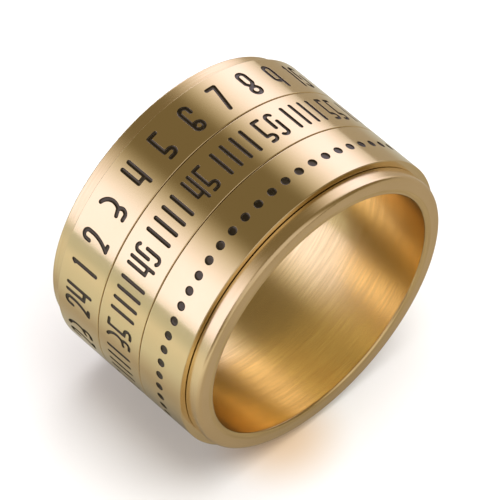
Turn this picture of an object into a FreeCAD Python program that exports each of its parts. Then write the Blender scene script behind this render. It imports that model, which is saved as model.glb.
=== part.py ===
"""Row counter worn as a finger ring: three engraved bands that turn on a flanged sleeve.

Millimetres. The ring's axis is Y, and the origin is the middle of the bore. The sleeve's own
flange is at the -Y end, and the pressed collar is at the +Y end. Going from -Y to +Y the bands
are the dot band, the scale band and the count band. An angle on a band is measured about +Y
from +Z towards +X, which is also the way that the numerals are read.
"""
import FreeCAD
import Part
import math
import os

# --- Sleeve and collar -------------------------------------------------------------------
BORE_RADIUS = 9.5            # finger size: 19 mm bore
TUBE_WALL = 0.65             # of the sleeve, where the bands turn on it
SPIGOT_STEP = 0.15           # how much lower the end is on which the collar is pressed
FLANGE_RISE = 0.70           # how far the flange and the collar stand above the seat
FLANGE_WIDTH = 1.05          # along the axis, for the flange and the collar alike
BORE_EDGE_ROUND = 0.2        # comfort rounding where the finger enters
FLANGE_END_ROUND = 0.12      # outer edges of the two end faces
FLANGE_INNER_ROUND = 0.2     # outer edges that face the bands
COLLAR_SEAM_BREAK = 0.04     # edge break that shows as the seam between spigot and collar

# --- Bands -------------------------------------------------------------------------------
BAND_WALL = 1.14             # from a band's bore to its outside
BAND_WIDTH = 3.86
BAND_EDGE_ROUND = 0.07
RUNNING_CLEARANCE = 0.06     # radial, between the sleeve's seat and each band
FLANGE_GAP = 0.20            # between the sleeve's flange and the dot band
BAND_GAP = 0.045             # between two bands
COLLAR_GAP = 0.03            # between the count band and the collar

# --- Engraving ---------------------------------------------------------------------------
ENGRAVING_DEPTH = 0.30
FILL_RECESS = 0.07           # how far the enamel lies below the band's surface

COUNT_LAST = 24
COUNT_HEIGHT = 2.35          # overall, stroke included
COUNT_DIGIT_WIDTH = 0.92     # overall, stroke included
COUNT_STROKE = 0.29
COUNT_DIGIT_GAP = 0.27       # edge to edge inside a two-digit numeral
COUNT_ANCHOR = (5, -18.6)    # this numeral lies at this angle, in degrees

SCALE_STEP = 5
SCALE_LAST = 55
SCALE_HEIGHT = 2.27
SCALE_DIGIT_WIDTH = 0.77
SCALE_STROKE = 0.25
SCALE_DIGIT_GAP = 0.26
SCALE_ANCHOR = (45, -20.3)
TICKS_PER_STEP = 4
TICK_PITCH = 4.27            # degrees
TICK_LENGTH = 2.2
TICK_WIDTH = 0.28

DOT_COUNT = 60
DOT_RADIUS = 0.31
DOT_ANCHOR = -1.4            # one dot lies at this angle, in degrees

# --- Derived radii and places along the axis ---------------------------------------------
SEAT_RADIUS = BORE_RADIUS + TUBE_WALL
SPIGOT_RADIUS = SEAT_RADIUS - SPIGOT_STEP
FLANGE_RADIUS = SEAT_RADIUS + FLANGE_RISE
BAND_BORE_RADIUS = SEAT_RADIUS + RUNNING_CLEARANCE
BAND_RADIUS = BAND_BORE_RADIUS + BAND_WALL
LENGTH = 2 * FLANGE_WIDTH + 3 * BAND_WIDTH + FLANGE_GAP + 2 * BAND_GAP + COLLAR_GAP
FRONT = -LENGTH / 2
BACK = LENGTH / 2
DOT_BAND_START = FRONT + FLANGE_WIDTH + FLANGE_GAP
SCALE_BAND_START = DOT_BAND_START + BAND_WIDTH + BAND_GAP
COUNT_BAND_START = SCALE_BAND_START + BAND_WIDTH + BAND_GAP
COLLAR_START = BACK - FLANGE_WIDTH

AXIS = FreeCAD.Vector(0, 1, 0)
ORIGIN = FreeCAD.Vector(0, 0, 0)
CUTTER_STANDOFF = 0.5        # how far an engraving cutter stands out of the band


def turned(corners):
    """Solid of revolution about Y from (radius, y, rounding) corners, in order."""
    count = len(corners)
    points = [FreeCAD.Vector(r, y, 0) for r, y, _ in corners]
    edges, ends = [], []
    for i, (_, _, rounding) in enumerate(corners):
        here, before, after = points[i], points[i - 1], points[(i + 1) % count]
        if rounding == 0:
            ends.append((here, here))
            continue
        inward = (before - here).normalize()
        outward = (after - here).normalize()
        half = inward.getAngle(outward) / 2
        reach = rounding / math.tan(half)
        start, end = here + inward * reach, here + outward * reach
        bisector = (inward + outward).normalize()
        middle = here + bisector * (rounding / math.sin(half) - rounding)
        edges.append((i, Part.Arc(start, middle, end).toShape()))
        ends.append((start, end))
    for i in range(count):
        start, end = ends[i][1], ends[(i + 1) % count][0]
        edges.append((i + 0.5, Part.makeLine(start, end)))
    wire = Part.Wire([edge for _, edge in sorted(edges, key=lambda item: item[0])])
    return Part.Face(wire).revolve(ORIGIN, AXIS, 360)


# --- Numeral shapes: pen paths in a box of a given width and height ----------------------
# A path is its start point, then steps: (x, y) for a line, (x, y, via_x, via_y) for an arc.

HOOK_ANGLE = math.radians(30)  # how far a stencil zero's hooks stop short of the side
FLAG_REACH = 0.10              # small flag at the top of a one
FLAG_DROP = 0.13


def digit_paths(digit, w, h):
    """Pen paths of one digit; w and h are the width and height between stroke middles."""
    r = w / 2                      # round head
    bowl = 0.27 * h                # height of the low bowl
    tip = 0.72 * h                 # where a hook's end hangs
    head = (w, h - r, r, h)        # arc over the top, left to right
    if digit == 0:                 # stencil zero: two hooks that don't meet
        hook_x = r * (1 + math.cos(HOOK_ANGLE))
        hook_y = r * (1 - math.sin(HOOK_ANGLE))
        return [
            [(hook_x, h - hook_y), (0, h - r, r, h), (0, 0.40 * h)],
            [(w, 0.62 * h), (w, r), (w - hook_x, hook_y, r, 0)],
        ]
    if digit == 1:
        return [[(r - FLAG_REACH, h - FLAG_DROP), (r, h), (r, 0)]]
    if digit == 2:
        return [[(0, tip), (0, h - r), head, (w, 0.66 * h),
                 (0.15 * w, 0, 0.78 * w, 0.34 * h), (0.85 * w, 0)]]
    if digit == 3:
        return [
            [(0.1 * w, h), (0.72 * w, 0.34 * h, w, 0.66 * h), (0, 0.27 * h)],
            [(0.66 * w, 0.34 * h), (0.62 * w, 0, w, 0.15 * h), (0.08 * w, 0)],
        ]
    if digit == 4:
        return [
            [(0, h), (0, 0.25 * h), (w, 0.25 * h)],
            [(w, h), (w, 0)],
        ]
    if digit == 5:
        return [[(0.9 * w, h), (0, h), (0, bowl), (w - bowl / 2, bowl),
                 (w - bowl / 2, 0, w, bowl / 2), (0.05 * w, 0)]]
    if digit == 6:
        return [
            [(w, tip), (w, h - r), (0, h - r, r, h), (0, r)],
            [(0, r), (w, r, r, 0), (0, r, r, w)],
        ]
    if digit == 7:
        return [[(0, h), (w, h), (0.27 * w, 0)]]
    if digit == 8:
        waist = 0.33 * h
        return [
            [(r, waist), (0, 0.52 * h), (0, h - r)],
            [(0, h - r), head, (w, 0.52 * h), (r, waist)],
            [(r, waist), (r, 0, r - waist / 2, waist / 2), (r, waist, r + waist / 2, waist / 2)],
        ]
    if digit == 9:
        foot = 0.27 * h + r
        corner = r * (1 - math.cos(math.pi / 4))
        return [
            [(w, 0), (w, h - r), (0, h - r, r, h), (0, foot)],
            [(0, foot), (r, foot - r, corner, foot - r + corner), (w, foot - r)],
        ]
    raise ValueError(digit)


def path_edges(path):
    """Edges of one pen path."""
    edges, at = [], FreeCAD.Vector(*path[0], 0)
    for step in path[1:]:
        to = FreeCAD.Vector(step[0], step[1], 0)
        if len(step) == 4:
            via = FreeCAD.Vector(step[2], step[3], 0)
            edges.append(Part.Arc(at, via, to).toShape())
        else:
            edges.append(Part.makeLine(at, to))
        at = to
    return edges


def is_loop(path):
    """Whether a pen path ends where it starts."""
    return math.dist(path[0], path[-1][:2]) < 1e-9


def bar_face(start, end, width):
    """Flat outline of a straight round-ended stroke between two points."""
    along = (end - start).normalize()
    side = FreeCAD.Vector(-along.y, along.x, 0) * (width / 2)
    tip = along * (width / 2)
    return Part.Face(Part.Wire([
        Part.makeLine(start - side, end - side),
        Part.Arc(end - side, end + tip, end + side).toShape(),
        Part.makeLine(end + side, start + side),
        Part.Arc(start + side, start - tip, start - side).toShape(),
    ]))


def stroke_face(edges, width):
    """Flat outline of a pen of a given width drawn along edges."""
    if len(edges) == 1 and isinstance(edges[0].Curve, Part.Line):
        return bar_face(edges[0].Vertexes[0].Point, edges[0].Vertexes[-1].Point, width)
    return Part.Wire(edges).makeOffset2D(width / 2, 0, True, False)


def digit_face(digit, width, height, stroke):
    """Flat outline of one digit, centred on the origin."""
    faces = []
    w, h = width - stroke, height - stroke
    for path in digit_paths(digit, w, h):
        edges = path_edges(path)
        runs = [edges[:1], edges[1:]] if is_loop(path) else [edges]
        for run in runs:
            faces.append(stroke_face(run, stroke))
    face = faces[0].fuse(faces[1:]) if len(faces) > 1 else faces[0]
    face = face.removeSplitter()
    face.translate(FreeCAD.Vector(-w / 2, -h / 2, 0))
    return face


def slot_face(width, length):
    """Flat outline of a round-ended mark that stands along the axis."""
    half = (length - width) / 2
    return bar_face(FreeCAD.Vector(0, -half, 0), FreeCAD.Vector(0, half, 0), width)


def dot_face(radius):
    """Flat outline of a round mark."""
    return Part.Face(Part.Wire([Part.makeCircle(radius)]))


def on_band(face, angle, y, low, high):
    """Prism of a flat outline between two heights above the axis, at an angle on a band."""
    prism = face.copy()
    prism.translate(FreeCAD.Vector(0, 0, low))
    prism = prism.extrude(FreeCAD.Vector(0, 0, high - low))
    prism.rotate(ORIGIN, AXIS, angle)
    prism.translate(FreeCAD.Vector(0, y, 0))
    return prism


def degrees_of(arc):
    """Angle that a length round the band's surface spans."""
    return math.degrees(arc / BAND_RADIUS)


# --- Lettering layout --------------------------------------------------------------------

def ink_width(digit, digit_width, stroke):
    """Overall width of a digit: a one is only a stroke wide."""
    return stroke if digit == 1 else digit_width


def numeral_digits(value, digit_width, stroke, gap):
    """(digit, offset) pairs round the band's surface, centred on the numeral; and its width."""
    digits = [int(c) for c in str(value)]
    widths = [ink_width(d, digit_width, stroke) for d in digits]
    total = sum(widths) + gap * (len(digits) - 1)
    pairs, at = [], -total / 2
    for digit, width in zip(digits, widths):
        pairs.append((digit, at + width / 2))
        at += width + gap
    return pairs, total


def even_gaps(values, width_of, between, anchor):
    """Angle of each numeral, with the same space after every one and the anchor's one fixed.

    between is what lies between two numerals apart from that space, in degrees.
    """
    widths = [degrees_of(width_of(v)) for v in values]
    space = (360 - sum(widths) - between * len(values)) / len(values)
    angles, at = {}, 0
    for value, width in zip(values, widths):
        angles[value] = at + width / 2
        at += width + between + space
    turn = anchor[1] - angles[anchor[0]]
    return {value: angle + turn for value, angle in angles.items()}


def numeral_parts(value, angle, y, size, low, high):
    """Prisms of a numeral's digits."""
    digit_width, height, stroke, gap = size
    pairs, _ = numeral_digits(value, digit_width, stroke, gap)
    return [
        on_band(digit_face(digit, digit_width, height, stroke), angle + degrees_of(offset), y, low, high)
        for digit, offset in pairs
    ]


def numeral_width(value, size):
    """Overall width of a numeral round the band's surface."""
    digit_width, _, stroke, gap = size
    return numeral_digits(value, digit_width, stroke, gap)[1]


# --- Pieces ------------------------------------------------------------------------------

def inner_sleeve():
    """Bored tube with its own flange at -Y, a seat for the bands and a spigot at +Y."""
    return turned([
        (BORE_RADIUS, FRONT, BORE_EDGE_ROUND),
        (FLANGE_RADIUS, FRONT, FLANGE_END_ROUND),
        (FLANGE_RADIUS, FRONT + FLANGE_WIDTH, FLANGE_INNER_ROUND),
        (SEAT_RADIUS, FRONT + FLANGE_WIDTH, 0),
        (SEAT_RADIUS, COLLAR_START, 0),
        (SPIGOT_RADIUS, COLLAR_START, 0),
        (SPIGOT_RADIUS, BACK, COLLAR_SEAM_BREAK),
        (BORE_RADIUS, BACK, BORE_EDGE_ROUND),
    ])


def end_collar():
    """Ring pressed on the spigot against its shoulder; it keeps the bands on."""
    return turned([
        (SPIGOT_RADIUS, COLLAR_START, 0),
        (FLANGE_RADIUS, COLLAR_START, FLANGE_INNER_ROUND),
        (FLANGE_RADIUS, BACK, FLANGE_END_ROUND),
        (SPIGOT_RADIUS, BACK, COLLAR_SEAM_BREAK),
    ])


def plain_band(start):
    """Band before it is engraved."""
    return turned([
        (BAND_BORE_RADIUS, start, BAND_EDGE_ROUND),
        (BAND_RADIUS, start, BAND_EDGE_ROUND),
        (BAND_RADIUS, start + BAND_WIDTH, BAND_EDGE_ROUND),
        (BAND_BORE_RADIUS, start + BAND_WIDTH, BAND_EDGE_ROUND),
    ])


def engraved(band, marks_at):
    """(band with its pockets, fills): marks_at(low, high) gives {name: prisms}."""
    floor = BAND_RADIUS - ENGRAVING_DEPTH
    cutters = marks_at(floor, BAND_RADIUS + CUTTER_STANDOFF)
    fills = marks_at(floor, BAND_RADIUS - FILL_RECESS)
    pockets = [prism for prisms in cutters.values() for prism in prisms]
    cut = band.cut(pockets)
    return cut, {name: Part.Compound(prisms) for name, prisms in fills.items()}


def count_marks(low, high):
    """Numerals 1 to 24, each a fill of its own."""
    size = (COUNT_DIGIT_WIDTH, COUNT_HEIGHT, COUNT_STROKE, COUNT_DIGIT_GAP)
    values = range(1, COUNT_LAST + 1)
    angles = even_gaps(values, lambda v: numeral_width(v, size), 0, COUNT_ANCHOR)
    y = COUNT_BAND_START + BAND_WIDTH / 2
    return {
        f"count_numeral_{v:02d}": numeral_parts(v, angles[v], y, size, low, high) for v in values
    }


def scale_marks(low, high):
    """Numerals 0 to 55 in fives, with four ticks after each."""
    size = (SCALE_DIGIT_WIDTH, SCALE_HEIGHT, SCALE_STROKE, SCALE_DIGIT_GAP)
    values = range(0, SCALE_LAST + 1, SCALE_STEP)
    ticks_span = TICK_PITCH * (TICKS_PER_STEP - 1)
    angles = even_gaps(values, lambda v: numeral_width(v, size), ticks_span, SCALE_ANCHOR)
    y = SCALE_BAND_START + BAND_WIDTH / 2
    marks = {
        f"scale_numeral_{v:02d}": numeral_parts(v, angles[v], y, size, low, high) for v in values
    }
    right_edges = {v: angles[v] + degrees_of(numeral_width(v, size)) / 2 for v in values}
    left_edges = {v: angles[v] - degrees_of(numeral_width(v, size)) / 2 for v in values}
    ticks = []
    for v in values:
        following = left_edges[v + SCALE_STEP] if v < SCALE_LAST else left_edges[0] + 360
        middle = (right_edges[v] + following) / 2
        for k in range(TICKS_PER_STEP):
            angle = middle + (k - (TICKS_PER_STEP - 1) / 2) * TICK_PITCH
            ticks.append(on_band(slot_face(TICK_WIDTH, TICK_LENGTH), angle, y, low, high))
    marks["scale_ticks"] = ticks
    return marks


def dot_marks(low, high):
    """Evenly spaced round marks."""
    y = DOT_BAND_START + BAND_WIDTH / 2
    angles = [DOT_ANCHOR + 360 / DOT_COUNT * k for k in range(DOT_COUNT)]
    return {"counting_dots": [on_band(dot_face(DOT_RADIUS), a, y, low, high) for a in angles]}


def main():
    """Builds every piece and writes one STEP file for each."""
    pieces = {"inner_sleeve": inner_sleeve(), "end_collar": end_collar()}
    for name, start, marks_at in (
        ("count_band", COUNT_BAND_START, count_marks),
        ("scale_band", SCALE_BAND_START, scale_marks),
        ("dot_band", DOT_BAND_START, dot_marks),
    ):
        pieces[name], fills = engraved(plain_band(start), marks_at)
        pieces.update(fills)
    os.makedirs("parts", exist_ok=True)
    for name, shape in pieces.items():
        shape.exportStep(f"parts/{name}.step")
    print(len(pieces), "nodes,", round(LENGTH, 3), "mm long")


main()
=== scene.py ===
"""Looks of the row counter ring: polished engraved bands on a brushed sleeve, filled with enamel.

Lengths are in millimetres in the classes and turn into metres where a mesh is made. The ring's
axis is Y. An angle round the ring is measured about +Y from +Z towards +X, in degrees.
"""

import logging
import math
from dataclasses import dataclass, field
from enum import Enum

import bpy
import numpy as np
from mathutils import Matrix, Vector
from mathutils.geometry import delaunay_2d_cdt


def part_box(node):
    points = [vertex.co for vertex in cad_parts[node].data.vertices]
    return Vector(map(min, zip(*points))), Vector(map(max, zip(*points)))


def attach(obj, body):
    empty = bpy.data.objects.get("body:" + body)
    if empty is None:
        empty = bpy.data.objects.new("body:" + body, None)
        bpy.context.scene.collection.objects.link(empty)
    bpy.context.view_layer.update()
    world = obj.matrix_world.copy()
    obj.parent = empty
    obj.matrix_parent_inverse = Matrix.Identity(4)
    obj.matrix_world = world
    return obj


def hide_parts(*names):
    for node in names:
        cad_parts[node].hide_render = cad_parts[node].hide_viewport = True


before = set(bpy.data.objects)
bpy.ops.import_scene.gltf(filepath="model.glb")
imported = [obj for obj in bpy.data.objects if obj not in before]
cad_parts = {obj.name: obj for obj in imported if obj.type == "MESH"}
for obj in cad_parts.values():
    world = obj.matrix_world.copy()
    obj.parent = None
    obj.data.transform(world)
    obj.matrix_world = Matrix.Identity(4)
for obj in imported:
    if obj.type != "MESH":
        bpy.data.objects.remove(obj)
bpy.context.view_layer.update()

MM = 0.001                       # scene units in a millimetre
TINY = 1e-9                      # a length taken as none
log = logging.getLogger("row_counter")

Point = tuple[float, float]
Array = np.ndarray


# --- Mesh building -----------------------------------------------------------------------

def polar(radius: float, angle: float, y: float) -> Vector:
    """Point at a radius, an angle in radians and a place along the axis."""
    return Vector((radius * math.sin(angle), y, radius * math.cos(angle)))


class Skin:
    """Closed surface gathered face by face, with a shading normal for each corner."""

    MERGE = 1e-4                 # millimetres within which two points are one

    def __init__(self, name: str) -> None:
        """Starts an empty surface with the name that its object will have."""
        self.name = name
        self.points: list[Vector] = []
        self.faces: list[tuple[int, ...]] = []
        self.normals: list[tuple[float, float, float]] = []
        self.known: dict[tuple[int, int, int], int] = {}

    def point(self, place: Vector) -> int:
        """Index of a point, shared with any point already there.

        Args:
            place: the point, in millimetres.

        Returns:
            Its index in this surface.
        """
        key = tuple(round(c / self.MERGE) for c in place)
        if key not in self.known:
            self.known[key] = len(self.points)
            self.points.append(place)
        return self.known[key]

    def face(self, corners: list[int], normals: list[Vector]) -> None:
        """Adds a face, turned so that it looks the way its shading normals do.

        Args:
            corners: indices of its points, in order round the face.
            normals: the shading normal at each corner.
        """
        kept = [k for k in range(len(corners)) if corners[k] != corners[k - 1]]
        if len(kept) < 3:
            return
        corners = [corners[k] for k in kept]
        normals = [normals[k] for k in kept]
        a, b, c = (self.points[corners[k]] for k in (0, 1, 2))
        across = (b - a).cross(c - a)
        if len(corners) == 4:
            across = (c - a).cross(self.points[corners[3]] - b)
        if across.dot(sum(normals, Vector((0, 0, 0)))) < 0:
            corners.reverse()
            normals.reverse()
        self.faces.append(tuple(corners))
        self.normals.extend(n.normalized()[:] for n in normals)

    def made(self, material: bpy.types.Material, body: str, slot: str,
             *nodes: str) -> bpy.types.Object:
        """Turns the surface into an object that stands for CAD nodes.

        Args:
            material: its material.
            body: the body that it moves with.
            slot: the name of a material slot; not used.
            nodes: the CAD nodes that it stands for.

        Returns:
            The object.
        """
        mesh = bpy.data.meshes.new(self.name)
        mesh.from_pydata([p * MM for p in self.points], [], self.faces)
        mesh.shade_smooth()
        mesh.normals_split_custom_set(self.normals)
        mesh.materials.append(material)
        piece = bpy.data.objects.new(self.name, mesh)
        bpy.context.scene.collection.objects.link(piece)
        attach(piece, body)
        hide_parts(*nodes)
        return piece


@dataclass(frozen=True)
class Corner:
    """Corner of a turned profile: radius, place along the axis and rounding."""

    radius: float
    y: float
    rounding: float = 0.0

    def place(self) -> Vector:
        """Where it lies in the section."""
        return Vector((self.radius, self.y))


@dataclass
class Profile:
    """Cross-section of a turned piece, as corners in order.

    The order goes along the outside from low y to high y, and back along the bore. The two ends
    of an open profile stay sharp.
    """

    corners: list[Corner]
    closed: bool = True
    arc_steps: int = 6

    def samples(self, i: int) -> list[tuple[Vector, Vector | None]]:
        """Samples one corner.

        Args:
            i: its number.

        Returns:
            Its points, each with an outward normal, or the one point of a sharp corner.
        """
        corner = self.corners[i]
        here = corner.place()
        if corner.rounding == 0 or (not self.closed and i in (0, len(self.corners) - 1)):
            return [(here, None)]
        before = (self.corners[i - 1].place() - here).normalized()
        after = (self.corners[(i + 1) % len(self.corners)].place() - here).normalized()
        half = before.angle(after) / 2
        reach = corner.rounding / math.tan(half)
        centre = here + (before + after).normalized() * (corner.rounding / math.sin(half))
        start = (here + before * reach) - centre
        sweep = start.angle_signed((here + after * reach) - centre)
        arms = [Matrix.Rotation(-sweep * k / self.arc_steps, 2) @ start
                for k in range(self.arc_steps + 1)]
        return [(centre + arm, arm.normalized()) for arm in arms]

    def outline(self) -> list[tuple[Vector, Vector, Vector, Vector]]:
        """Samples the section.

        Returns:
            For each stretch between two samples: both places, then the outward normal at each.
        """
        count = len(self.corners)
        corners = [self.samples(i) for i in range(count)]
        stretches = []
        for i, samples in enumerate(corners):
            for (a, normal_a), (b, normal_b) in zip(samples, samples[1:]):
                stretches.append((a, b, normal_a, normal_b))
            if i == count - 1 and not self.closed:
                break
            a, b = samples[-1][0], corners[(i + 1) % count][0][0]
            if (b - a).length > TINY:
                side = Vector(((b - a).y, -(b - a).x)).normalized()
                stretches.append((a, b, side, side))
        return stretches


def turn_round(skin: Skin, profile: Profile, columns: list[float]) -> None:
    """Adds the surface that a profile sweeps round the axis.

    Args:
        skin: the surface that it is added to.
        profile: the cross-section.
        columns: angles of the columns, in radians, all round the ring.
    """
    for a, b, normal_a, normal_b in profile.outline():
        for k, angle in enumerate(columns):
            following = columns[(k + 1) % len(columns)]
            ids, normals = [], []
            for place, normal, at in (
                (a, normal_a, angle), (a, normal_a, following),
                (b, normal_b, following), (b, normal_b, angle),
            ):
                ids.append(skin.point(polar(place.x, at, place.y)))
                normals.append(polar(normal.x, at, normal.y))
            skin.face(ids, normals)


# --- Engraved marks ----------------------------------------------------------------------

Step = tuple[float, ...]         # (x, y) of a line's end, or (x, y, via_x, via_y) of an arc's


@dataclass(frozen=True)
class DigitFont:
    """Pen-drawn figures with round ends."""

    digit_width: float
    height: float
    stroke: float
    digit_gap: float
    hook_angle: float = math.radians(30)

    def paths(self, digit: int) -> list[list[Step]]:
        """Pen paths of one digit, in a box that starts at the origin.

        Args:
            digit: 0 to 9.

        Returns:
            The paths, each a start point and then the steps from it.
        """
        w = self.digit_width - self.stroke
        h = self.height - self.stroke
        r = w / 2
        bowl = 0.27 * h
        tip = 0.72 * h
        waist = 0.33 * h
        foot = 0.27 * h + r
        corner = r * (1 - math.cos(math.pi / 4))
        hook_x = r * (1 + math.cos(self.hook_angle))
        hook_y = r * (1 - math.sin(self.hook_angle))
        head = (w, h - r, r, h)
        return {
            0: [[(hook_x, h - hook_y), (0, h - r, r, h), (0, 0.40 * h)],
                [(w, 0.62 * h), (w, r), (w - hook_x, hook_y, r, 0)]],
            1: [[(r - 0.10, h - 0.13), (r, h), (r, 0)]],
            2: [[(0, tip), (0, h - r), head, (w, 0.66 * h),
                 (0.15 * w, 0, 0.78 * w, 0.34 * h), (0.85 * w, 0)]],
            3: [[(0.1 * w, h), (0.72 * w, 0.34 * h, w, 0.66 * h), (0, 0.27 * h)],
                [(0.66 * w, 0.34 * h), (0.62 * w, 0, w, 0.15 * h), (0.08 * w, 0)]],
            4: [[(0, h), (0, 0.25 * h), (w, 0.25 * h)],
                [(w, h), (w, 0)]],
            5: [[(0.9 * w, h), (0, h), (0, bowl), (w - bowl / 2, bowl),
                 (w - bowl / 2, 0, w, bowl / 2), (0.05 * w, 0)]],
            6: [[(w, tip), (w, h - r), (0, h - r, r, h), (0, r)],
                [(0, r), (w, r, r, 0), (0, r, r, w)]],
            7: [[(0, h), (w, h), (0.27 * w, 0)]],
            8: [[(r, waist), (0, 0.52 * h), (0, h - r)],
                [(0, h - r), head, (w, 0.52 * h), (r, waist)],
                [(r, waist), (r, 0, r - waist / 2, waist / 2),
                 (r, waist, r + waist / 2, waist / 2)]],
            9: [[(w, 0), (w, h - r), (0, h - r, r, h), (0, foot)],
                [(0, foot), (r, foot - r, corner, foot - r + corner), (w, foot - r)]],
        }[digit]

    def ink_width(self, digit: int) -> float:
        """Overall width of a digit: a one is only a stroke wide."""
        return self.stroke if digit == 1 else self.digit_width

    def places(self, value: int) -> list[tuple[int, float]]:
        """Digits of a numeral, with their offsets from its middle."""
        at = -self.width(value) / 2
        found = []
        for digit in map(int, str(value)):
            width = self.ink_width(digit)
            found.append((digit, at + width / 2))
            at += width + self.digit_gap
        return found

    def width(self, value: int) -> float:
        """Overall width of a numeral."""
        widths = [self.ink_width(digit) for digit in map(int, str(value))]
        return sum(widths) + self.digit_gap * (len(widths) - 1)

    def glyph(self, digit: int) -> "Glyph":
        """Shape of one digit, centred."""
        shift = np.array([self.digit_width - self.stroke, self.height - self.stroke]) / 2
        return Glyph.drawn([pen_line(path) - shift for path in self.paths(digit)], self.stroke)


def pen_line(path: list[Step]) -> Array:
    """Points along a pen path.

    Args:
        path: a start point, then line and arc steps.

    Returns:
        The points. Arcs are sampled every few degrees.
    """
    arc_step = math.radians(5)
    points = [np.array(path[0], float)]
    for step in path[1:]:
        start, end = points[-1], np.array(step[:2], float)
        if len(step) == 2:
            points.append(end)
            continue
        via = np.array(step[2:], float)
        rows = 2 * np.array([via - start, end - start])
        sums = np.array([via @ via - start @ start, end @ end - start @ start])
        centre = np.linalg.solve(rows, sums)
        first, middle, last = (math.atan2(*(p - centre)[::-1]) for p in (start, via, end))
        turn = (last - first) % math.tau
        if (middle - first) % math.tau > turn:
            turn -= math.tau
        count = max(2, math.ceil(abs(turn) / arc_step))
        radius = np.linalg.norm(start - centre)
        for k in range(1, count + 1):
            angle = first + turn * k / count
            points.append(centre + radius * np.array([math.cos(angle), math.sin(angle)]))
    return np.array(points)


@dataclass
class Glyph:
    """Engraved shape: how far any point lies outside of it, and loops just outside of it."""

    origin: Array
    levels: Array                # signed distance on a grid, negative inside
    loops: list[Array] = field(default_factory=list)

    EDGE = 0.018                 # width of the broken edge, whose outer side the loops follow
    GRID = 0.0125
    MARGIN = 0.15
    SOFTEN = 1.6                 # grid steps by which the cutter rounds an inner corner
    MAX_TURN = math.radians(10)
    MAX_RUN = 0.14

    @classmethod
    def drawn(cls, lines: list[Array], stroke: float) -> "Glyph":
        """Makes the shape that a round pen leaves.

        Args:
            lines: the points of each pen line.
            stroke: the pen's width.

        Returns:
            The shape.
        """
        ends = np.concatenate(lines)
        low = ends.min(0) - stroke / 2 - cls.MARGIN
        high = ends.max(0) + stroke / 2 + cls.MARGIN
        xs = np.arange(low[0], high[0], cls.GRID)
        ys = np.arange(low[1], high[1], cls.GRID)
        spots = np.stack(np.meshgrid(xs, ys, indexing="ij"), -1)
        nearest = np.full(spots.shape[:2], np.inf)
        for line in lines:
            if len(line) == 1:
                line = np.repeat(line, 2, 0)
            for a, b in zip(line, line[1:]):
                along = b - a
                share = ((spots - a) @ along) / max(along @ along, TINY)
                offset = spots - a - np.clip(share, 0, 1)[..., None] * along
                nearest = np.minimum(nearest, np.hypot(offset[..., 0], offset[..., 1]))
        glyph = cls(low, softened(nearest - stroke / 2, cls.SOFTEN))
        glyph.loops = [glyph.thinned(loop) for loop in glyph.traced()]
        return glyph

    def sampled(self, grid: Array, places: Array) -> Array:
        """Bilinear reading of a grid at places; far away it reads the margin."""
        spots = (places - self.origin) / self.GRID
        limit = np.array(grid.shape[:2]) - 1.001
        spots = np.clip(spots, 0, limit)
        i, j = spots.astype(int).T
        s, t = (spots - spots.astype(int)).T
        return (grid[i, j] * (1 - s) * (1 - t) + grid[i + 1, j] * s * (1 - t)
                + grid[i, j + 1] * (1 - s) * t + grid[i + 1, j + 1] * s * t)

    def distance(self, places: Array) -> Array:
        """How far places lie outside of the shape: negative inside."""
        return self.sampled(self.levels, places)

    def outward(self, places: Array) -> Array:
        """Unit directions that point away from the shape."""
        slopes = [self.sampled(g, places) for g in np.gradient(self.levels, self.GRID)]
        direction = np.stack(slopes, -1)
        return direction / np.maximum(np.linalg.norm(direction, axis=-1, keepdims=True), TINY)

    def traced(self) -> list[Array]:
        """Loops at every grid crossing, with the shape on their left."""
        inside = self.levels < self.EDGE
        whole = inside.astype(int)
        mixed = whole[:-1, :-1] + whole[1:, :-1] + whole[1:, 1:] + whole[:-1, 1:]
        follows = {}
        for i, j in zip(*np.nonzero((mixed > 0) & (mixed < 4))):
            ring = [(i, j), (i + 1, j), (i + 1, j + 1), (i, j + 1)]
            leaving, entering = [], []
            for k in range(4):
                p, q = ring[k], ring[(k + 1) % 4]
                if inside[p] and not inside[q]:
                    leaving.append((k, frozenset((p, q))))
                if inside[q] and not inside[p]:
                    entering.append((k, frozenset((p, q))))
            for k, edge in leaving:
                onward = min(entering, key=lambda item: (item[0] - k) % 4)
                follows[edge] = onward[1]
        loops = []
        while follows:
            edge, onward = follows.popitem()
            loop = [edge]
            while onward != loop[0]:
                loop.append(onward)
                onward = follows.pop(onward)
            loops.append(np.array([self.crossing(edge) for edge in loop]))
        return loops

    def crossing(self, edge: frozenset) -> Array:
        """Where the outline crosses a grid edge."""
        p, q = sorted(edge)
        a, b = self.levels[p] - self.EDGE, self.levels[q] - self.EDGE
        spot = np.array(p) + (np.array(q) - np.array(p)) * (a / (a - b))
        return self.origin + spot * self.GRID

    def thinned(self, loop: Array) -> Array:
        """Keeps the points that a loop's bends need, and one now and then on its straights."""
        facing = self.outward(loop)
        kept = [0]
        for k in range(1, len(loop)):
            turn = math.acos(np.clip(facing[k] @ facing[kept[-1]], -1, 1))
            if turn > self.MAX_TURN or math.dist(loop[k], loop[kept[-1]]) > self.MAX_RUN:
                kept.append(k)
        if math.dist(loop[kept[-1]], loop[0]) < 2 * self.GRID:
            kept.pop()
        return loop[kept]


def softened(grid: Array, steps: float) -> Array:
    """Grid smoothed by a bell curve whose spread is given in grid steps."""
    reach = math.ceil(3 * steps)
    bell = np.exp(-0.5 * (np.arange(-reach, reach + 1) / steps) ** 2)
    bell /= bell.sum()
    padded = np.pad(grid, reach, mode="edge")
    rows = sum(w * padded[k:k + grid.shape[0], :] for k, w in enumerate(bell))
    return sum(w * rows[:, k:k + grid.shape[1]] for k, w in enumerate(bell))


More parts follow.
